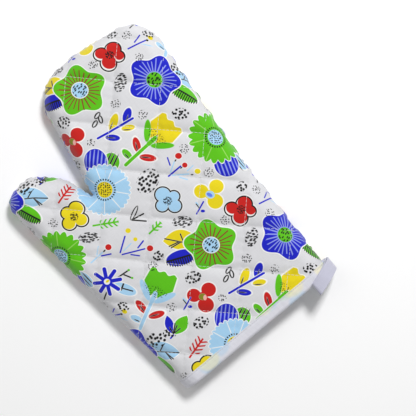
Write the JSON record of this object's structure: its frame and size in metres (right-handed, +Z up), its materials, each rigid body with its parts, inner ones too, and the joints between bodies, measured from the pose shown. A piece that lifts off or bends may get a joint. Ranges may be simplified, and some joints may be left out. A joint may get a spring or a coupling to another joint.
{
  "type": "oven mitt",
  "caption": "Quilted cotton oven mitt with a thumb that folds over the palm, a bound cuff and a tape hanging loop at its side seam.",
  "frame": {"origin": "under the middle of the whole mitt, on the surface that its back panel lies on", "axes": "+Y from the cuff to the fingertips, +X to the side with the hanging loop, the thumb on the -X side, +Z up through the front panel"},
  "size_m": [0.1964, 0.2976, 0.0356],
  "materials": {
    "printed_cotton": "plain-weave cotton, pale grey-white with a bright printed flower pattern",
    "batting": "fluffy cotton batting",
    "lining_cotton": "plain white cotton",
    "binding_cotton": "bias-cut cotton, wrong side of the print showing faintly",
    "quilting_thread": "fine white thread",
    "sewing_thread": "white thread",
    "twill_tape": "white cotton twill tape"
  },
  "bodies": {
    "mitt": {"back_batting": "batting", "back_lining": "lining_cotton", "back_quilting_thread": "quilting_thread", "back_shell": "printed_cotton", "binding_topstitch": "sewing_thread", "cuff_binding": "binding_cotton", "front_batting": "batting", "front_lining": "lining_cotton", "front_quilting_thread": "quilting_thread", "front_shell": "printed_cotton", "loop_bar_tack": "sewing_thread", "loop_root_tab": "twill_tape", "side_seam_thread": "sewing_thread"},
    "thumb": {"thumb_back_batting": "batting", "thumb_back_lining": "lining_cotton", "thumb_back_quilting_thread": "quilting_thread", "thumb_back_shell": "printed_cotton", "thumb_front_batting": "batting", "thumb_front_lining": "lining_cotton", "thumb_front_quilting_thread": "quilting_thread", "thumb_front_shell": "printed_cotton", "thumb_seam_thread": "sewing_thread"},
    "hanging_loop": {"hanging_loop": "twill_tape"}
  },
  "joints": [
    {"name": "thumb_fold", "type": "hinge", "parent": "mitt", "child": "thumb", "pos_m": [-0.03523, 0.04421, 0.028], "axis": [0.7071, 0.7071, 0], "range_deg": [0, 50]},
    {"name": "loop_flip", "type": "hinge", "parent": "mitt", "child": "hanging_loop", "pos_m": [0.08776, -0.13499, 0.009], "axis": [0, 1, 0], "range_deg": [0, 120]}
  ]
}
